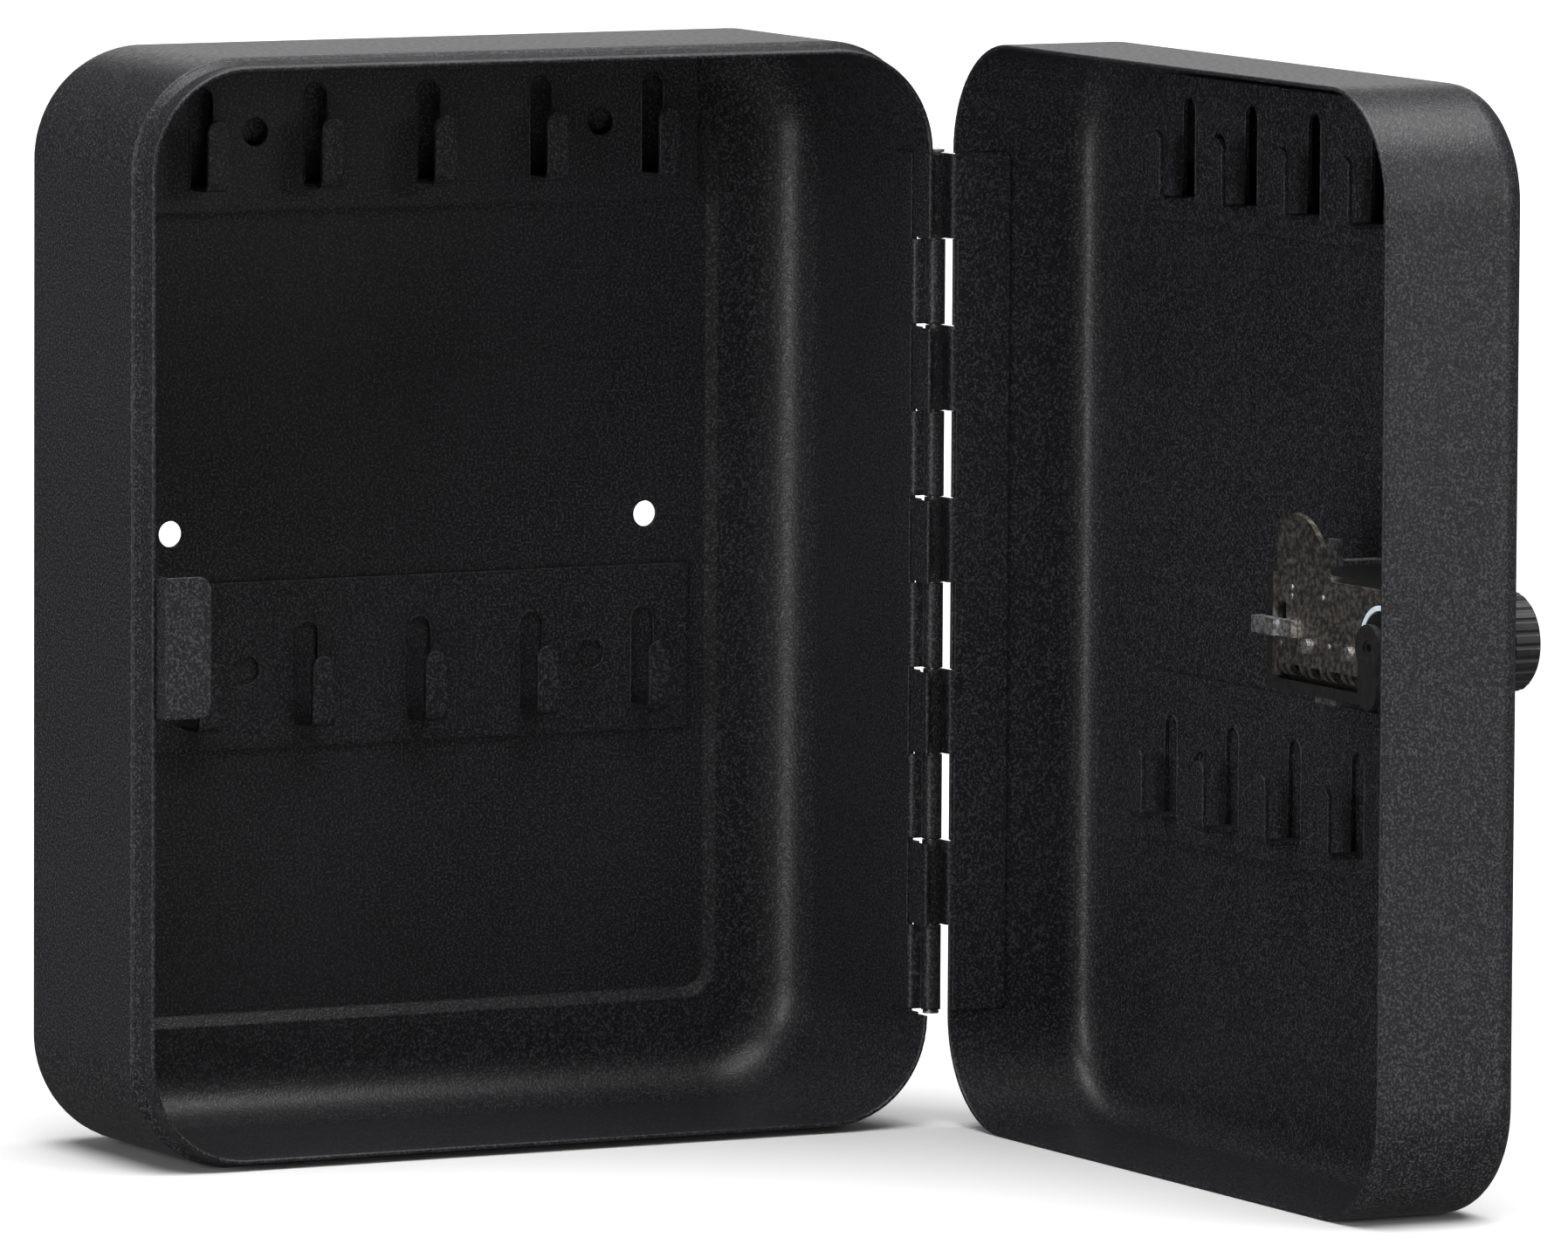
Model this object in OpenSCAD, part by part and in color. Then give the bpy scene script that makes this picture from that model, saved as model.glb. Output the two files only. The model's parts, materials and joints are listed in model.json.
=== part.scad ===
// Wall-mounted key cabinet with a four-dial combination lock.
// Frame: the wall is the plane y = 0, the opening faces -Y, the hinge is at +X, +Z is up.
// The origin is the middle of the flat back face. The door is drawn open, at door_open degrees.
// Everything on the door is written as if the door were shut, and on_door() swings it open.

/* [Cabinet] */
// Outside width of the cabinet
body_w = 160; // [156:1:190]
// Outside height of the cabinet
body_h = 200; // [196:1:240]
// Depth of the box from its back panel to the step behind the lip
box_d = 50; // [46:1:60]
// Depth of the door tray from its rim to its front
door_d = 29.5; // [29:0.5:32]
// Gap between the box step and the door rim when shut
door_gap = 1.7; // [1.6:0.1:2]
// Sheet thickness of the two trays
sheet = 0.8; // [0.7:0.05:0.8]
// Radius of the four outline corners
corner_r = 20.5; // [18:0.5:24]
// Radius of the drawn edge around the back of the box
box_fillet = 11; // [8:0.5:11]
// Radius of the drawn edge around the front of the door
door_fillet = 6; // [5:0.5:7]
// Depth of the pressed rectangle that meets the wall
emboss = 1; // [0.6:0.1:1.2]
// Length of the lip that the shut door covers
lip_len = 6; // [4:0.5:6]
// Inward step from the box wall to the lip
lip_inset = 1.35; // [1.35:0.05:1.5]
// How far the door stands open as drawn
door_open = 90; // [0:5:180]

/* [Wall holes] */
// Distance between the two wall screw holes
wall_hole_pitch = 97; // [80:1:104]
// Height of the wall screw holes above the middle
wall_hole_z = 9.6; // [5:0.1:20]
// Diameter of the wall screw holes
wall_hole_d = 4.8; // [4:0.1:6]

/* [Hooks] */
// Number of hooks on each rail
hook_count = 5; // [3:1:5]
// Distance from hook to hook
hook_pitch = 23; // [20:0.5:23]
// Width of one hook
hook_w = 4.4; // [3:0.1:4.6]
// Height of the upright part of a hook
hook_h = 13; // [10:0.5:14]
// Distance from the rail to the front of the hook
hook_reach = 7.4; // [6:0.2:9]
// Sheet thickness of the rails
rail_t = 0.8; // [0.7:0.1:1]
// Height of a whole rail
rail_h = 30.7; // [29:0.1:32]
// Bottom edge of the upper rails
upper_rail_z = 68.5; // [66:0.5:69]
// Height of an upper rail, cut short under the drawn edge
upper_rail_h = 26.8; // [24:0.1:27]
// Distance of an upper rail from the panel behind it
rail_standoff = 3.4; // [3:0.1:4]
// Bottom edge of the lower rail in the box
box_rail_z = -30.4; // [-40:0.1:-20]
// Bottom edge of the lower rail in the door
door_rail_z = -45.2; // [-50:0.1:-44]

/* [Hinge] */
// Number of knuckles, shared by the two leaves in turn
knuckle_count = 10; // [6:2:14]
// Length of the hinge
hinge_len = 158; // [140:0.2:158.4]
// Outer radius of a knuckle
knuckle_r = 1.8; // [1.6:0.1:1.9]
// Radius of the hinge pin
pin_r = 0.9; // [0.8:0.05:1]
// Distance of the pin outside the cabinet wall
pin_out = 2.5; // [2.4:0.1:3]

/* [Lock] */
// Distance of the knob axis from the hinge side of the door
knob_u = 144.3; // [144:0.1:145]
// Height of the knob axis
lock_z = 1.4; // [0:0.1:3]
// Radius of the knob
knob_r = 8.8; // [8:0.1:9]
// Number of flutes around the knob
knob_flutes = 24; // [16:2:32]
// Position of the first dial from the hinge side of the door
dial_u = 110.1; // [109.8:0.1:110.1]
// Distance from dial to dial
dial_pitch = 7.4; // [7.2:0.1:7.4]
// Radius of a dial
dial_r = 8.6; // [8:0.1:8.8]
// Thickness of a dial
dial_t = 5.6; // [5:0.1:5.6]
// Travel of the code-change lever
lever_travel = 2.4; // [2:0.1:3]

/* [Hidden] */
$fn = 48;
cut = 1;                                  // how far a cutting tool runs past a face
step_y = -(emboss + box_d);               // the step where the lip starts
rim_y = step_y - door_gap;                // the door rim when shut
front_y = rim_y - door_d;                 // the outside of the door front when shut
pin_x = body_w / 2 + pin_out;
pin_y = step_y + 0.3;
leaf_t = 0.45;
leaf_bend = 1.2;                          // outside radius of the bend behind each knuckle
leaf_turn = knuckle_r - leaf_t + leaf_bend; // distance from the pin where a leaf lies on its wall
knuckle_len = hinge_len / knuckle_count;
knuckle_gap = 0.24;
joggle = 1.9;                             // depth of the slope between the wall and the lip
notch_play = 0.3;                         // play around a leaf's tab in its notch
bore_clearance = 0.06;
pressed_w = 121.6;                         // inside size of the pressed rectangle
pressed_h = 158;
pressed_r = 4;
press_slope = 2.2;                        // width of the slope around the pressed rectangle
box_rail_x = 1.6;
rail_len = (hook_count - 1) * hook_pitch + 18.8;
slot_w = hook_w + 0.3;
foot_z = 4.2;                             // underside of a hook above its rail's bottom edge
slot_top = 23;
rail_hole_x = 35.25;
rail_hole_z = 14.5;
rail_hole_d = 5.2;
upper_door_rail_x = -11.2;
// the lock, in its own frame
escutcheon_t = 1.5;
housing_back = 20;                        // depth of the housing behind the door front
housing_h = 22;
housing_left = 42.3;                      // its end on the hinge side of the knob axis
housing_right = 8.6;
cover_t = 0.9;
dial_depth = 6.2;                         // depth of the dial axle behind the door front
dial_gap = 0.5;                           // clearance around a dial
spindle_r = 3;
hub_r = 6.2;
boss_r = 3.2;
cam_y = housing_back + 2.3;               // where the cam plate starts
cam_t = 1.3;
cam_hub_r = 4.2;
cam_half_w = 3.2;
cam_len = 11;
screw_r = 1.4;
axle_r = 2;
sleeve_r = 5;
tongue_x = 28.3;
tongue_w = 17.3;
tongue_bend = 12.6;
tongue_tilt = 8;
finger_w = 1.6;
lever_x = 35.2;
black = [0.13, 0.13, 0.14];
plastic = [0.07, 0.07, 0.08];
nickel = [0.62, 0.60, 0.56];
steel = [0.75, 0.76, 0.78];
nylon = [0.80, 0.87, 0.93];
brass = [0.80, 0.66, 0.35];

// ---- helpers ----

// A plan outline with four round corners, centred
module rounded(w, h, r) {
    square([w - 2 * r, h], center = true);
    square([w, h - 2 * r], center = true);
    for (sx = [-1, 1])
        for (sz = [-1, 1])
            translate([sx * (w / 2 - r), sz * (h / 2 - r)]) circle(r);
}

// A plate in the XZ plane from y = y0 down to y = y0 - t
module plate_y(y0, t) {
    translate([0, y0, 0]) rotate([90, 0, 0]) linear_extrude(t) children();
}

// A rod along Y from y = y0 down to y = y0 - t
module rod_y(r, y0, t) {
    translate([0, y0, 0]) rotate([90, 0, 0]) cylinder(r = r, h = t);
}

// Swings the shut door to its drawn position
module on_door() {
    translate([pin_x, pin_y, 0]) rotate([0, 0, door_open]) translate([-pin_x, -pin_y, 0]) children();
}

// The lock's own frame on the shut door: +X towards the hinge from the knob axis,
// Y = 0 at the outside of the door front with +Y into the door
module on_lock(u = knob_u) {
    on_door() translate([body_w / 2 - u, front_y, lock_z]) children();
}

// ---- trays ----

// Wall section of the box, x outward from the corner centre and y as depth from the back panel
module box_section() {
    r = corner_r;
    lip_x = r - lip_inset;
    edge_r = 0.5;                         // rounding where the wall turns in towards the lip
    inner_turn = box_d - 0.7;             // depth where the inside turns in
    difference() {
        union() {
            square([r - box_fillet, box_fillet]);
            translate([0, box_fillet]) square([r, box_d - edge_r - box_fillet]);
            translate([r - edge_r, box_d - edge_r]) circle(edge_r);
            polygon([[0, box_d - edge_r], [r - edge_r, box_d - edge_r], [r - edge_r, box_d],
                [lip_x, box_d + joggle], [0, box_d + joggle]]);
            translate([0, box_d]) square([lip_x, lip_len - sheet / 2]);
            translate([lip_x - sheet / 2, box_d + lip_len - sheet / 2]) circle(sheet / 2);
            translate([r - box_fillet, box_fillet]) circle(box_fillet);
        }
        translate([-cut, sheet]) square([r - box_fillet + cut, box_fillet]);
        translate([-cut, box_fillet]) square([r - sheet + cut, inner_turn - box_fillet]);
        polygon([[-cut, inner_turn - cut], [r - sheet, inner_turn - cut], [r - sheet, inner_turn],
            [lip_x - sheet, box_d + joggle - 0.4], [-cut, box_d + joggle - 0.4]]);
        translate([-cut, box_d]) square([lip_x - sheet + cut, lip_len + cut]);
        translate([r - box_fillet, box_fillet]) circle(box_fillet - sheet);
        // nothing reaches past the corner centre
        translate([-r, -cut]) square([r, box_d + lip_len + 2 * cut]);
    }
}

// Wall section of the door, y as depth from the front panel
module door_section() {
    r = corner_r;
    difference() {
        union() {
            square([r - door_fillet, door_fillet]);
            translate([0, door_fillet]) square([r, door_d - sheet / 2 - door_fillet]);
            translate([r - sheet / 2, door_d - sheet / 2]) circle(sheet / 2);
            translate([r - door_fillet, door_fillet]) circle(door_fillet);
        }
        translate([-cut, sheet]) square([r - door_fillet + cut, door_fillet]);
        translate([-cut, door_fillet]) square([r - sheet + cut, door_d]);
        translate([r - door_fillet, door_fillet]) circle(door_fillet - sheet);
        translate([-r, -cut]) square([r, door_d + 2 * cut]);
    }
}

// A drawn tray from a wall section: four corners, four sides and a panel, open towards +Z
module tray() {
    cx = body_w / 2 - corner_r;
    cz = body_h / 2 - corner_r;
    for (k = [0:3])
        rotate([0, 0, 90 * k]) {
            a = k % 2 == 0 ? cx : cz;
            b = k % 2 == 0 ? cz : cx;
            translate([a, b, 0]) rotate_extrude(angle = 90, $fn = 96) children();
            translate([a, b, 0]) rotate([90, 0, 0]) linear_extrude(2 * b) children();
        }
    translate([-cx, -cz, 0]) cube([2 * cx, 2 * cz, sheet]);
}

// A rounded rectangle w by h with corners r at y = 0, growing by grow all round down to y = -t
module frustum(w, h, r, grow, t) {
    cx = w / 2 - r;
    cz = h / 2 - r;
    rotate([90, 0, 0]) {
        for (sx = [-1, 1])
            for (sz = [-1, 1])
                translate([sx * cx, sz * cz, 0]) cylinder(r1 = r, r2 = r + grow, h = t, $fn = 64);
        for (k = [0:3])
            rotate([0, 0, 90 * k]) {
                reach = k % 2 == 0 ? w / 2 : h / 2;
                side = k % 2 == 0 ? cz : cx;
                translate([0, side, 0]) rotate([90, 0, 0]) linear_extrude(2 * side)
                    polygon([[0, 0], [reach, 0], [reach + grow, t], [0, t]]);
            }
    }
}

module box_shell() {
    skin = 0.7;                           // how much larger the pressing is outside than inside
    color(black) difference() {
        union() {
            translate([0, -emboss, 0]) rotate([90, 0, 0]) tray() box_section();
            frustum(pressed_w + 2 * skin, pressed_h + 2 * skin, pressed_r + skin, press_slope,
                emboss + sheet);
        }
        translate([0, -sheet, 0])
            frustum(pressed_w, pressed_h, pressed_r, press_slope * 1.3, emboss * 1.3);
        // notches in the lip for the tabs of the hinge
        for (k = [1:2:knuckle_count - 1])
            translate([body_w / 2 - 3, step_y - lip_len - cut,
                hinge_len / 2 - (k + 1) * knuckle_len - notch_play])
                cube([6, lip_len + cut + pin_y - step_y + leaf_turn, knuckle_len + 2 * notch_play]);
        for (s = [-1, 1])
            translate([s * wall_hole_pitch / 2, 0, wall_hole_z]) rod_y(wall_hole_d / 2, cut, 4);
    }
}

module door_shell() {
    color(black) difference() {
        on_door() translate([0, front_y, 0]) rotate([90, 0, 180]) tray() door_section();
        // the cut-out for the lock
        on_lock() translate([-7.5, -cut, -9.6]) cube([47.8, sheet + 2 * cut, 19.2]);
        // shallow notches in the rim for the tabs of the hinge
        for (k = [0:2:knuckle_count - 1])
            on_door() translate([body_w / 2 - 2, pin_y - leaf_turn,
                hinge_len / 2 - (k + 1) * knuckle_len])
                cube([3, leaf_turn, knuckle_len]);
    }
}

// ---- hook rails ----

// One hook, rising from the front of its rail
module hook() {
    bend = 1.8;                           // outside radius of the bend
    reach = hook_reach;
    top = foot_z + hook_h;
    intersection() {
        translate([hook_w / 2, 0, 0]) rotate([90, 0, -90]) linear_extrude(hook_w) {
            translate([-rail_t, foot_z]) square([rail_t + reach - bend, rail_t]);
            translate([reach - rail_t, foot_z + bend]) square([rail_t, hook_h - bend]);
            intersection() {
                translate([reach - bend, foot_z + bend]) difference() {
                    circle(bend);
                    circle(bend - rail_t);
                }
                translate([reach - bend, foot_z]) square(bend);
            }
        }
        plate_y(rail_t + cut, reach + rail_t + 2 * cut) {
            translate([-hook_w / 2, foot_z - cut]) square([hook_w, hook_h + cut - hook_w / 2]);
            translate([0, top - hook_w / 2]) circle(hook_w / 2);
        }
    }
}

// A rail with its lanced hooks. Y = 0 is the panel behind it, Z = 0 its bottom edge.
module rail(h, standoff) {
    flange_h = 10.4;
    difference() {
        translate([-rail_len / 2, -standoff - rail_t, 0]) cube([rail_len, rail_t, h]);
        for (k = [0:hook_count - 1])
            translate([(k - (hook_count - 1) / 2) * hook_pitch, 0, 0])
                plate_y(cut, standoff + rail_t + 2 * cut) {
                    translate([-slot_w / 2, foot_z + rail_t])
                        square([slot_w, slot_top - slot_w / 2 - foot_z - rail_t]);
                    translate([0, slot_top - slot_w / 2]) circle(slot_w / 2);
                }
        for (s = [-1, 1])
            translate([s * rail_hole_x, 0, rail_hole_z])
                rod_y(rail_hole_d / 2, cut, standoff + rail_t + 2 * cut);
    }
    for (k = [0:hook_count - 1])
        translate([(k - (hook_count - 1) / 2) * hook_pitch, -standoff - rail_t, 0]) hook();
    if (standoff > 0) {
        translate([-rail_len / 2, -standoff, 0]) cube([rail_len, standoff, rail_t]);
        for (s = [0, 1])
            translate([s * (rail_len - rail_t) - rail_len / 2, -standoff, 0])
                cube([rail_t, standoff, flange_h]);
    }
}

module box_rail_upper() {
    color(black) translate([box_rail_x, -sheet, upper_rail_z]) rail(upper_rail_h, rail_standoff);
}

module box_rail_lower() {
    color(black) translate([box_rail_x, -sheet, box_rail_z]) rail(rail_h, 0);
}

module door_rail_upper() {
    color(black) on_door() translate([upper_door_rail_x, front_y + sheet, upper_rail_z])
        rotate([0, 0, 180]) rail(upper_rail_h, rail_standoff);
}

module door_rail_lower() {
    color(black) on_door() translate([0, front_y + sheet, door_rail_z])
        rotate([0, 0, 180]) rail(rail_h, 0);
}

// The keeper behind which the cam turns, welded inside the lip
module strike_plate() {
    t = 0.8;
    w = 9;
    h = 25.4;
    z = -4.5;
    x = -(body_w / 2 - lip_inset - sheet);
    y = step_y - lip_len - 4;             // its face stands in front of the lip
    r = 2.5;
    color(black) translate([x, 0, z]) {
        translate([0, y, -h / 2]) cube([t, 15, h]);
        plate_y(y + t, t) {
            translate([0, -h / 2]) square([w - r, h]);
            translate([w - r - 1, r - h / 2]) square([r + 1, h - 2 * r]);
            for (s = [-1, 1])
                translate([w - r, s * (h / 2 - r)]) circle(r);
        }
    }
}

// ---- hinge ----

// One leaf, written for the box side with the pin at the origin and the box towards +Y
module leaf(first, bore, leaf_w) {
    back_x = -(pin_out + sheet + leaf_t); // the leaf lies on the inner face of the wall
    bend_x = back_x + leaf_bend;
    r = 1.5;
    half = hinge_len / 2;
    translate([back_x, 0, 0]) rotate([90, 0, 90]) linear_extrude(leaf_t) {
        translate([leaf_turn, -half]) square([leaf_w - r - leaf_turn, hinge_len]);
        translate([leaf_w - r - 1, r - half]) square([r + 1, hinge_len - 2 * r]);
        for (s = [-1, 1])
            translate([leaf_w - r, s * (half - r)]) circle(r);
    }
    for (k = [first:2:knuckle_count - 1])
        translate([0, 0, half - (k + 1) * knuckle_len + knuckle_gap / 2])
            linear_extrude(knuckle_len - knuckle_gap) {
                difference() {
                    union() {
                        circle(knuckle_r);
                        translate([bend_x, knuckle_r - leaf_t]) square([-bend_x, leaf_t]);
                    }
                    circle(bore);
                }
                intersection() {
                    translate([bend_x, leaf_turn]) difference() {
                        circle(leaf_bend);
                        circle(leaf_bend - leaf_t);
                    }
                    translate([back_x, leaf_turn - leaf_bend]) square(leaf_bend);
                }
            }
}

module hinge_leaf_box() {
    color(black) translate([pin_x, pin_y, 0]) leaf(1, pin_r, 8.8);
}

module hinge_leaf_door() {
    color(black) translate([pin_x, pin_y, 0]) rotate([0, 0, door_open]) mirror([0, 1, 0])
        leaf(0, pin_r + bore_clearance, 13.5);
}

module hinge_pin() {
    head_h = 0.5;
    color(steel) translate([pin_x, pin_y, 0]) {
        cylinder(r = pin_r, h = hinge_len + 0.2, center = true);
        for (s = [-1, 1])
            translate([0, 0, s * (hinge_len / 2 + 0.1 + head_h / 2)])
                cylinder(r = pin_r + 0.6, h = head_h, center = true);
    }
}

// ---- lock ----

// Places something at each dial
module at_dial(k) {
    on_lock(dial_u + (k - 1) * dial_pitch) translate([0, dial_depth, 0]) rotate([0, 90, 0])
        children();
}

module lock_housing() {
    wall = 1.6;
    color(plastic) difference() {
        on_lock() union() {
            translate([-housing_right, sheet, -housing_h / 2])
                cube([housing_left + housing_right, housing_back - sheet, housing_h]);
            translate([-7.4, 0, -9.5]) cube([47.6, sheet, 19]);
        }
        for (k = [1:4])
            on_lock(dial_u + (k - 1) * dial_pitch)
                translate([-dial_t / 2 - dial_gap, -cut, wall - housing_h / 2])
                    cube([dial_t + 2 * dial_gap, dial_depth + dial_r + 0.6 + cut,
                        housing_h - 2 * wall]);
        on_lock() translate([0, -cut, 0]) rotate([-90, 0, 0])
            cylinder(r = spindle_r + bore_clearance, h = housing_back + 2 * cut);
        on_lock() translate([lever_x - 1.5, housing_back - 4, -1.2]) cube([3, 6, 6.1]);
        on_lock() translate([8, housing_back - 2.6, -9]) cube([30, 4, 3.5]);
        // the axle's seat
        on_lock() translate([4.5, dial_depth, 0]) rotate([0, 90, 0])
            cylinder(r = axle_r, h = 36);
        for (p = cover_screw_places)
            on_lock() translate([p[0], housing_back + cut, p[1]]) rod_y(0.8, 0, cut + 3.6);
    }
}

// Centres of the cover screws in the lock's frame
cover_screw_places = [[26, -2.2], [11, -2.2]];

module lock_escutcheon() {
    left = housing_left + 0.8;
    right = 8.6;
    color(plastic) difference() {
        on_lock() plate_y(0, escutcheon_t)
            translate([(left - right) / 2, 0]) rounded(left + right, 22.4, 8);
        for (k = [1:4])
            on_lock(dial_u + (k - 1) * dial_pitch)
                plate_y(cut, escutcheon_t + 2 * cut) square([dial_t + 0.8, 13], center = true);
        on_lock() rod_y(spindle_r + bore_clearance, cut, escutcheon_t + 2 * cut);
    }
}

module lock_cover() {
    y = housing_back + cover_t;
    left = 38.5;
    right = 8;
    bottom = -8.3;
    top = 10;
    tongue_r = tongue_w / 2;
    notch = 2.4;                          // height of the curl of a finger
    color(nickel) on_lock() {
        difference() {
            plate_y(y, cover_t) {
                translate([-right, bottom + notch]) square([left + right, top - bottom - notch]);
                translate([37, bottom]) square([left - 37, notch]);
                translate([-right, bottom]) square([right + 8, notch]);
                translate([tongue_x - tongue_r, bottom + notch])
                    square([tongue_w, tongue_bend - bottom - notch]);
                // the hollow corner between the tongue and the top edge
                difference() {
                    translate([tongue_x - tongue_r - 2.6, top]) square(2.6);
                    translate([tongue_x - tongue_r - 2.6, top + 2.6]) circle(2.6);
                }
            }
            rod_y(7.6, y + cut, cover_t + 2 * cut);
            translate([lever_x - 1.5, housing_back - cut, -1.2])
                cube([3, cover_t + 2 * cut, 6.1]);
            for (p = cover_screw_places)
                translate([p[0], 0, p[1]]) rod_y(0.8, y + cut, cover_t + 2 * cut);
        }
        // the round end of the tongue, bent a little towards the box
        translate([tongue_x, y, tongue_bend]) rotate([-tongue_tilt, 0, 0]) intersection() {
            plate_y(0, cover_t) circle(tongue_r);
            translate([-tongue_r, -2, -0.05]) cube([tongue_w, 4, tongue_w]);
        }
        // detent fingers, two for each dial, curled in towards the dials
        for (k = [1:4])
            for (s = [-1, 1])
                translate([knob_u - dial_u - (k - 1) * dial_pitch + s * 1.3 - finger_w / 2,
                    y - notch, bottom + notch])
                    rotate([90, 0, 90]) linear_extrude(finger_w) intersection() {
                        difference() {
                            circle(notch);
                            circle(notch - cover_t);
                        }
                        translate([0, -notch]) square([notch, notch]);
                    }
    }
}

module cover_screws() {
    color(steel) on_lock() for (p = cover_screw_places)
        translate([p[0], 0, p[1]]) {
            rod_y(0.8, housing_back + cover_t, cover_t + 3.4);
            difference() {
                rod_y(1.3, housing_back + cover_t + 0.7, 0.7);
                translate([-cut - 1, housing_back + cover_t + 0.35, -0.2]) cube([4, 1, 0.4]);
            }
        }
}

// Spring clips that hold the housing against the door front
module retaining_clips() {
    top = housing_h / 2;
    color(nickel) on_lock() {
        translate([33.2, sheet, top]) cube([4, 10, 0.8]);
        translate([33.2, sheet + 9, top]) cube([4, 1.2, 4.6]);
        translate([21.8, sheet, -top - 1.6]) cube([7.4, 16.6, 1.6]);
    }
}

module dial(k) {
    flats = 10;
    color(plastic) at_dial(k) difference() {
        cylinder(r = dial_r, h = dial_t, center = true);
        cylinder(r = sleeve_r, h = dial_t + 2 * cut, center = true);
        for (a = [0:flats - 1])
            rotate([0, 0, 360 / flats * (a + 0.5)]) translate([dial_r + 0.7, 0, 0])
                cylinder(r = 1.1, h = dial_t + 2 * cut, center = true);
    }
}

module dial_1() { dial(1); }
module dial_2() { dial(2); }
module dial_3() { dial(3); }
module dial_4() { dial(4); }

// The ring inside a dial whose slot frees the axle at one number
module code_sleeve(k) {
    color(brass) at_dial(k) difference() {
        cylinder(r = sleeve_r, h = dial_t, center = true);
        cylinder(r = axle_r + bore_clearance, h = dial_t + 2 * cut, center = true);
        translate([axle_r + 0.8, -0.8, -dial_t]) cube([sleeve_r, 1.6, 2 * dial_t]);
    }
}

module code_sleeve_1() { code_sleeve(1); }
module code_sleeve_2() { code_sleeve(2); }
module code_sleeve_3() { code_sleeve(3); }
module code_sleeve_4() { code_sleeve(4); }

module dial_axle() {
    color(steel) on_lock() translate([4.6, dial_depth, 0]) rotate([0, 90, 0])
        cylinder(r = axle_r, h = 35.8);
}

// The lever that slides up to set a new code
module reset_lever() {
    y = housing_back + cover_t + 0.15;
    color(nickel) on_lock() {
        translate([29.5, y, -1]) cube([12.9, 1.2, 3]);
        translate([34.4, y + 1.2, -1]) cube([8, 0.9, 3]);
        translate([lever_x, 0, 0.4]) rod_y(1, y + 0.5, 3.4);
    }
}

module knob() {
    face = -escutcheon_t - 0.2;           // underside of the knob
    h = 5.2;
    color(plastic) on_lock() difference() {
        union() {
            rod_y(knob_r, face, h - 0.6);
            translate([0, face - h + 0.6, 0]) rotate([90, 0, 0])
                cylinder(r1 = knob_r, r2 = knob_r - 0.6, h = 0.6);
        }
        rod_y(spindle_r, face + cut, 3.3 + cut);
        for (a = [0:knob_flutes - 1])
            rotate([0, 360 / knob_flutes * a, 0]) translate([knob_r + 0.35, 0, 0])
                rod_y(0.7, face + cut, h + 2 * cut);
        // the pointer line on its face
        translate([-0.5, face - h - cut, 1.5]) cube([1, cut + 0.4, knob_r]);
    }
}

module spindle() {
    foot = -(escutcheon_t + 0.2 + 3.3);   // its end inside the knob
    color(plastic) on_lock() difference() {
        union() {
            rod_y(spindle_r, housing_back + cover_t, housing_back + cover_t - foot);
            rod_y(hub_r, housing_back + cover_t, cover_t - 0.1);
            rod_y(boss_r, cam_y, cam_y - housing_back - cover_t + 0.1);
        }
        rod_y(screw_r, cam_y + cut, 7 + cut);
    }
}

module friction_washer() {
    color(nylon) on_lock() difference() {
        rod_y(7.4, housing_back + cover_t, cover_t);
        rod_y(hub_r + 0.3, housing_back + cover_t + cut, cover_t + 2 * cut);
    }
}

// Drawn unlocked, its arm hanging down
module lock_cam() {
    color(plastic) on_lock() difference() {
        union() {
            rod_y(cam_hub_r, cam_y + cam_t, cam_t);
            translate([-cam_half_w, cam_y, cam_half_w - cam_len])
                cube([2 * cam_half_w, cam_t, cam_len - cam_half_w]);
            translate([0, 0, cam_half_w - cam_len]) rod_y(cam_half_w, cam_y + cam_t, cam_t);
        }
        rod_y(screw_r + 0.05, cam_y + cam_t + cut, cam_t + 2 * cut);
    }
}

// A socket screw, sunk in the cam
module cam_screw() {
    sunk = 0.4;
    color(steel) on_lock() difference() {
        rod_y(screw_r, cam_y + cam_t - sunk, cam_t - sunk + 6.5);
        rod_y(0.8, cam_y + cam_t - sunk + cut, 1.4 + cut);
    }
}

box_shell();
box_rail_upper();
box_rail_lower();
strike_plate();
hinge_leaf_box();
hinge_pin();
door_shell();
door_rail_upper();
door_rail_lower();
hinge_leaf_door();
lock_housing();
lock_escutcheon();
lock_cover();
cover_screws();
retaining_clips();
dial_1();
dial_2();
dial_3();
dial_4();
code_sleeve_1();
code_sleeve_2();
code_sleeve_3();
code_sleeve_4();
dial_axle();
reset_lever();
knob();
spindle();
friction_washer();
lock_cam();
cam_screw();
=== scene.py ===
"""Looks of the wall-mounted key cabinet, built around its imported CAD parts."""

import json
import math

import bmesh
import bpy
from mathutils import Matrix, Vector


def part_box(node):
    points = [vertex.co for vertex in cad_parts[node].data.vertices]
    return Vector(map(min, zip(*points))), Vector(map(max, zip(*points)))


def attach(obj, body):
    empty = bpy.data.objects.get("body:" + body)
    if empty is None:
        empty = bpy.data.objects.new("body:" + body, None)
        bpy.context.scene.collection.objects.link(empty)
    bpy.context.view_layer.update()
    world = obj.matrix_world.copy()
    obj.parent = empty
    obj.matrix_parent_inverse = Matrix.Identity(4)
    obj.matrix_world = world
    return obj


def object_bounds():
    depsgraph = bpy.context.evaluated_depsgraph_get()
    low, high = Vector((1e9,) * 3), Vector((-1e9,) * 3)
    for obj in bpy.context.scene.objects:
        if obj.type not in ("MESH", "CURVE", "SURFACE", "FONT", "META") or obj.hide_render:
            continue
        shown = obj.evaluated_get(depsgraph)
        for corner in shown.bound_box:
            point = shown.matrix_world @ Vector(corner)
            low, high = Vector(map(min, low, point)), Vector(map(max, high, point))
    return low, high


MM = 0.001

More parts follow.
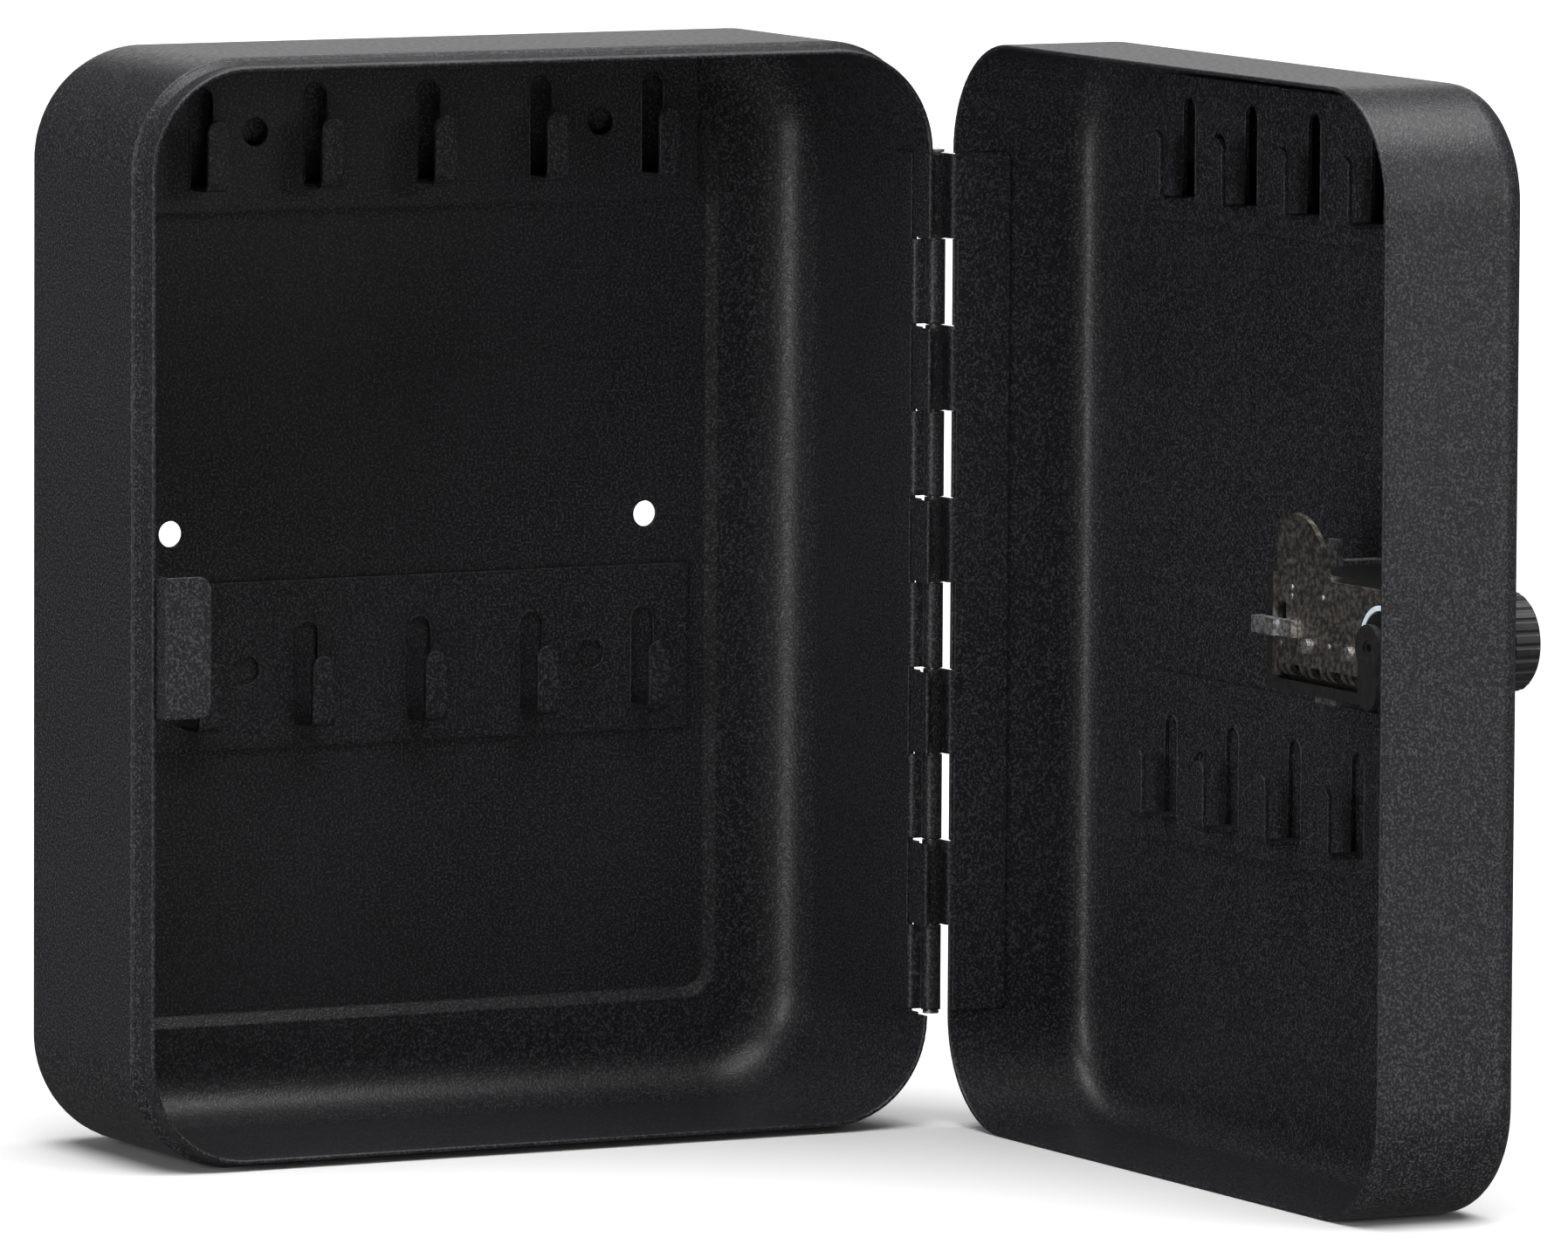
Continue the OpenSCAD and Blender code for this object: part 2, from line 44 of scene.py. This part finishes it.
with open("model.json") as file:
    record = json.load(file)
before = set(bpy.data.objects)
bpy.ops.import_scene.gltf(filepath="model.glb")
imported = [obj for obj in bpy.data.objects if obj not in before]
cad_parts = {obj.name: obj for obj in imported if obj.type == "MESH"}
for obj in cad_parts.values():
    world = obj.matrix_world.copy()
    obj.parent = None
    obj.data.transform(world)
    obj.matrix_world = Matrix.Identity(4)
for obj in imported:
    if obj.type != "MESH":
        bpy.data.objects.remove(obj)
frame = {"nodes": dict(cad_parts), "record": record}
nodes = frame["nodes"]
cad_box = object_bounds()


# ---- shader helpers ----


class Shader:
    """A material's node tree, with short calls for the nodes used here."""

    def __init__(self, name):
        self.material = bpy.data.materials.new(name)
        self.material.use_nodes = True
        self.tree = self.material.node_tree
        self.surface = self.tree.nodes["Principled BSDF"]
        self.place = self.tree.nodes.new("ShaderNodeTexCoord").outputs["Object"]

    def node(self, kind, **values):
        made = self.tree.nodes.new(kind)
        for key, value in values.items():
            if key in made.inputs:
                made.inputs[key].default_value = value
            else:
                setattr(made, key, value)
        return made

    def link(self, source, target):
        self.tree.links.new(source, target)

    def sockets(self, **values):
        """Sets the surface's own sockets: base_color becomes Base Color."""
        for key, value in values.items():
            self.surface.inputs[key.replace("_", " ").title()].default_value = value

    def noise(self, scale, detail=2.0, rough=0.5, stretch=(1, 1, 1)):
        mapping = self.node("ShaderNodeMapping")
        mapping.inputs["Scale"].default_value = stretch
        self.link(self.place, mapping.inputs["Vector"])
        made = self.node("ShaderNodeTexNoise", Scale=scale, Detail=detail, Roughness=rough)
        self.link(mapping.outputs["Vector"], made.inputs["Vector"])
        return made.outputs["Fac"]

    def between(self, value, low, high, out_low=0.0, out_high=1.0):
        """Maps value from low..high to out_low..out_high, clamped."""
        made = self.node("ShaderNodeMapRange")
        for key, number in (
            ("From Min", low),
            ("From Max", high),
            ("To Min", out_low),
            ("To Max", out_high),
        ):
            made.inputs[key].default_value = number
        self.link(value, made.inputs["Value"])
        return made.outputs["Result"]

    def mix(self, factor, a, b):
        """Colour a where factor is 0, colour b where it is 1."""
        made = self.node("ShaderNodeMix", data_type="RGBA")
        self.link(factor, made.inputs["Factor"])
        for socket, value in ((made.inputs[6], a), (made.inputs[7], b)):
            if isinstance(value, bpy.types.NodeSocket):
                self.link(value, socket)
            else:
                socket.default_value = (*value, 1.0)
        return made.outputs[2]

    def bump(self, height, distance, strength=1.0, below=None):
        made = self.node("ShaderNodeBump", Strength=strength, Distance=distance)
        self.link(height, made.inputs["Height"])
        if below:
            self.link(below, made.inputs["Normal"])
        return made.outputs["Normal"]


def powder_coat():
    """Black polyester powder coat: a fine pebbled skin with a faint violet cast."""
    s = Shader("powder_coat")
    grain = s.noise(2400, detail=1.0, rough=0.5)
    swell = s.noise(900, detail=1.0)
    cloud = s.noise(18, detail=3.0)
    tone = s.mix(s.between(cloud, 0.35, 0.65), (0.0085, 0.0082, 0.0096), (0.0120, 0.0116, 0.0136))
    fleck = s.mix(s.between(grain, 0.48, 0.72), tone, (0.056, 0.054, 0.060))
    s.link(fleck, s.surface.inputs["Base Color"])
    s.link(s.between(swell, 0.3, 0.7, 0.34, 0.46), s.surface.inputs["Roughness"])
    edges = s.node("ShaderNodeBevel", Radius=0.5 * MM)
    edges.samples = 6
    pebble = s.bump(swell, 0.10 * MM, 0.35, edges.outputs["Normal"])
    s.link(s.bump(grain, 0.08 * MM, 0.8, pebble), s.surface.inputs["Normal"])
    return s.material


def moulded(name, colour, roughness, scale=900):
    """Moulded plastic with a light spark-eroded grain."""
    s = Shader(name)
    grain = s.noise(scale, detail=2.0)
    lighter = tuple(min(1.0, c * 1.35 + 0.004) for c in colour)
    s.link(s.mix(s.between(grain, 0.3, 0.8), colour, lighter), s.surface.inputs["Base Color"])
    s.link(s.between(grain, 0.3, 0.7, roughness, roughness + 0.12), s.surface.inputs["Roughness"])
    s.link(s.bump(grain, 0.04 * MM, 0.5), s.surface.inputs["Normal"])
    return s.material


def plated(name, colour, roughness, stretch):
    """Plated or bright metal with fine drawn lines and faint mottling."""
    s = Shader(name)
    s.sockets(metallic=1.0)
    lines = s.noise(350, detail=4.0, rough=0.7, stretch=stretch)
    mottle = s.noise(900, detail=3.0, rough=0.7)
    darker = tuple(c * 0.35 for c in colour)
    s.link(s.mix(s.between(mottle, 0.42, 0.6), darker, colour), s.surface.inputs["Base Color"])
    s.link(s.between(lines, 0.25, 0.75, roughness, roughness + 0.16), s.surface.inputs["Roughness"])
    s.link(s.bump(lines, 0.02 * MM, 0.35), s.surface.inputs["Normal"])
    return s.material


def nylon():
    """Natural nylon, slightly translucent and bluish."""
    s = Shader("nylon")
    s.sockets(roughness=0.32, subsurface_weight=0.25)
    s.surface.inputs["Subsurface Scale"].default_value = 0.4 * MM
    cloud = s.noise(240, detail=2.0)
    s.link(
        s.mix(s.between(cloud, 0.3, 0.7), (0.62, 0.72, 0.80), (0.74, 0.82, 0.88)),
        s.surface.inputs["Base Color"],
    )
    return s.material


LOOKS = {
    "shell_black": powder_coat(),
    "lock_plastic": moulded("lock_plastic", (0.012, 0.012, 0.013), 0.34),
    "dial_plastic": moulded("dial_plastic", (0.016, 0.016, 0.018), 0.38),
    "nickel": plated("nickel", (0.80, 0.75, 0.67), 0.36, (1, 1, 6)),
    "steel": plated("steel", (0.95, 0.95, 0.97), 0.42, (1, 1, 6)),
    "brass": plated("brass", (0.78, 0.60, 0.28), 0.28, (1, 6, 1)),
    "nylon": nylon(),
    "pale_paint": moulded("pale_paint", (0.78, 0.78, 0.74), 0.5),
}


def paint(obj, look):
    obj.data.materials.clear()
    obj.data.materials.append(LOOKS[look])


for part in frame["record"]["subparts"]:
    paint(nodes[part["node"]], part["material_slot"])
# brighter than the plated cover next to them
paint(nodes["reset_lever"], "steel")
paint(nodes["retaining_clips"], "steel")


# ---- lock details ----


def finished(name, mesh, look, body):
    """Puts a mesh made here into the scene with its look, moving with a body of the CAD."""
    made = bpy.data.objects.new(name, mesh)
    bpy.context.scene.collection.objects.link(made)
    made.data.materials.append(LOOKS[look])
    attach(made, body)


def flat_figure(digit, size):
    """One figure as a flat mesh round the origin, cut in strips so that it can bend."""
    text = bpy.data.curves.new("figure", "FONT")
    text.body = str(digit)
    text.size = size
    text.align_x = "CENTER"
    text.align_y = "CENTER"
    holder = bpy.data.objects.new("figure", text)
    flat = bmesh.new()
    flat.from_mesh(bpy.data.meshes.new_from_object(holder))
    bpy.data.objects.remove(holder)
    strip = size / 16
    for k in range(-9, 10):
        bmesh.ops.bisect_plane(
            flat,
            geom=flat.verts[:] + flat.edges[:] + flat.faces[:],
            plane_co=(0, k * strip, 0),
            plane_no=(0, 1, 0),
        )
    return flat


FIGURE_SIZE = 3.6 * MM


def dial_figures(dial):
    """The figures 0 to 9, one on each land of a dial, read from the front of the door."""
    land, first_land = 36, 18  # degrees; a groove faces the front, so the lands are half a step on
    proud = 0.02 * MM
    low, high = (Vector(v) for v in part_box(f"dial_{dial}"))
    centre = (low + high) / 2
    radius = (high.z - low.z) / 2 + proud
    ring = bmesh.new()
    for digit in range(10):
        flat = flat_figure(digit, FIGURE_SIZE)
        for vert in flat.verts:
            angle = math.radians(land * digit + first_land) + vert.co.y / radius
            out = Vector((math.cos(angle), 0, math.sin(angle)))
            vert.co = centre + radius * out + Vector((0, vert.co.x, 0))
        part = bpy.data.meshes.new("part")
        flat.to_mesh(part)
        ring.from_mesh(part)
    mesh = bpy.data.meshes.new(f"dial_{dial}_figures")
    ring.to_mesh(mesh)
    finished(f"dial_{dial}_figures", mesh, "pale_paint", f"dial_wheel_{dial}")


def block(name, low, high, look, body):
    """A box from corner low to corner high."""
    solid = bmesh.new()
    bmesh.ops.create_cube(solid, size=1)
    low, high = Vector(low), Vector(high)
    for vert in solid.verts:
        vert.co = Vector((v + 0.5) for v in vert.co) * (high - low) + low
    mesh = bpy.data.meshes.new(name)
    solid.to_mesh(mesh)
    finished(name, mesh, look, body)


def pip(name, place, radius):
    """A low round mark on the lock cover, which faces -X."""
    flatness = 0.4
    dome = bmesh.new()
    bmesh.ops.create_uvsphere(dome, u_segments=20, v_segments=12, radius=radius)
    for vert in dome.verts:
        vert.co = Vector(place) + Vector((vert.co.x * flatness, vert.co.y, vert.co.z))
    for face in dome.faces:
        face.smooth = True
    mesh = bpy.data.meshes.new(name)
    dome.to_mesh(mesh)
    finished(name, mesh, "steel", "door")


front_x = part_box("door_shell")[1][0]
knob_low, knob_high = (Vector(v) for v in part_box("knob"))
knob_axis = (knob_low + knob_high) / 2
for dial in range(1, 5):
    dial_figures(dial)

# paint in the pointer groove of the knob: depths below its face, half width, heights on it
deep, shallow, half, start, end = 0.41 * MM, 0.2 * MM, 0.47 * MM, 1.55 * MM, 8 * MM
block(
    "knob_pointer",
    (knob_high.x - deep, knob_axis.y - half, knob_axis.z + start),
    (knob_high.x - shallow, knob_axis.y + half, knob_axis.z + end),
    "pale_paint",
    "knob_and_cam",
)

# in mm: the lock cover's depth behind the door front, the size of its marks, and for each mark its
# distance from the knob axis towards the hinge and its height above the axis
COVER_DEPTH = 20.9
PIP_RADIUS = 0.55
PIPS = ((31.7, 7.8), (31.7, 6.2), (35.6, -2.4), (20.6, 6.8), (18.3, -1.6))
for k, (towards_hinge, up) in enumerate(PIPS):
    y, z = knob_axis.y + towards_hinge * MM, knob_axis.z + up * MM
    pip(f"cover_pip_{k + 1}", (front_x - COVER_DEPTH * MM, y, z), PIP_RADIUS * MM)


# ---- burrs raised round the hook slots ----


HOOK_PITCH = 23


def slot_beads(rail, foot, along, body):
    """A fine raised bead round the five slots of a rail, all in mm from its foot."""
    half, start, arch = 2.35, 5.2, 20.65
    arch_steps = 12
    curve = bpy.data.curves.new("bead", "CURVE")
    curve.dimensions = "3D"
    curve.bevel_depth = 0.2 * MM
    curve.bevel_resolution = 3
    for k in range(-2, 3):
        path = [(-half, start)]
        for step in range(arch_steps + 1):
            angle = math.pi * (1 - step / arch_steps)
            path.append((half * math.cos(angle), arch + half * math.sin(angle)))
        path.append((half, start))
        spline = curve.splines.new("POLY")
        spline.points.add(len(path) - 1)
        for point, (side, up) in zip(spline.points, path):
            place = foot + along * (HOOK_PITCH * k + side) + Vector((0, 0, up))
            point.co = (*(place * MM), 1)
    holder = bpy.data.objects.new("bead", curve)
    mesh = bpy.data.meshes.new_from_object(holder)
    bpy.data.objects.remove(holder)
    finished(f"{rail}_beads", mesh, "shell_black", body)


# the middle of each rail's bottom edge, on the face its hooks stand out from, in mm;
# the box rails run along X and the door rails, on the open door, along Y
RAIL_FEET = {
    "box_rail_lower": (1.6, -1.6, -30.4),
    "box_rail_upper": (1.6, -5.0, 68.5),
    "door_rail_lower": (112.4, -133.2, -45.2),
    "door_rail_upper": (109.0, -144.4, 68.5),
}
for rail, foot in RAIL_FEET.items():
    on_door = rail.startswith("door")
    along = Vector((0, 1, 0)) if on_door else Vector((1, 0, 0))
    slot_beads(rail, Vector(foot), along, "door" if on_door else "base")

# ---- stage ----


def floor(top):
    """A plain white floor, kept out of the reflections so that black paint stays black."""
    bpy.ops.mesh.primitive_plane_add(size=30, location=(0, 0, top))
    made = bpy.context.object
    made.name = "floor"
    made.visible_glossy = False
    s = Shader("floor")
    s.sockets(base_color=(0.92, 0.92, 0.92, 1.0), roughness=0.9)
    made.data.materials.append(s.material)


def aimed(name, data, place, aim):
    made = bpy.data.objects.new(name, data)
    bpy.context.scene.collection.objects.link(made)
    made.location = place
    made.rotation_mode = "QUATERNION"
    made.rotation_quaternion = (Vector(aim) - Vector(place)).to_track_quat("-Z", "Y")


def softbox(name, place, width, height, radiance, aim=(0.04, -0.1, 0)):
    data = bpy.data.lights.new(name, "AREA")
    data.shape = "RECTANGLE"
    data.size = width
    data.size_y = height
    data.energy = radiance * math.pi * width * height
    aimed(name, data, place, aim)


def overhead(strength, direction, spread):
    """A very large, far light, the same over the whole floor."""
    data = bpy.data.lights.new("overhead", "SUN")
    data.energy = strength
    data.angle = math.radians(spread)
    aimed("overhead", data, direction, (0, 0, 0))


def daylight(strength):
    world = bpy.data.worlds.new("studio")
    bpy.context.scene.world = world
    world.use_nodes = True
    sky = world.node_tree.nodes["Background"]
    sky.inputs["Color"].default_value = (1.0, 1.0, 1.0, 1.0)
    sky.inputs["Strength"].default_value = strength


def camera(target, azimuth, elevation, roll, distance, lens):
    """A camera left of the front by azimuth degrees, turned about its own axis by roll degrees."""
    a, e, r = (math.radians(x) for x in (azimuth, elevation, roll))
    back = Vector((-math.sin(a) * math.cos(e), -math.cos(a) * math.cos(e), math.sin(e)))
    right = Vector((0, 0, 1)).cross(back).normalized()
    up = back.cross(right)
    x = math.cos(r) * right + math.sin(r) * up
    y = math.cos(r) * up - math.sin(r) * right
    turn = Matrix((x, y, back)).transposed().to_4x4()
    data = bpy.data.cameras.new("camera")
    data.lens = lens
    data.sensor_width = 36
    data.clip_end = 50
    made = bpy.data.objects.new("camera", data)
    bpy.context.scene.collection.objects.link(made)
    made.matrix_world = Matrix.Translation(Vector(target) + back * distance) @ turn
    bpy.context.scene.camera = made


low, high = cad_box
floor(low.z)
bpy.context.scene.view_settings.view_transform = "Standard"
daylight(0.08)
overhead(4.6, (0.02, -0.15, 0.98), 70)
softbox("left_strip", (-2.2, -1.2, 0.3), 0.6, 1.6, 8.0)
softbox("front_right", (1.9, -2.2, 0.6), 1.0, 1.4, 2.8)
softbox("behind", (1.5, 2.6, 1.0), 1.8, 1.2, 1.0)
camera((0.07754, -0.001, -0.01183), 27.5176, 5.8777, 0.3194, 2.90543, 358.38)
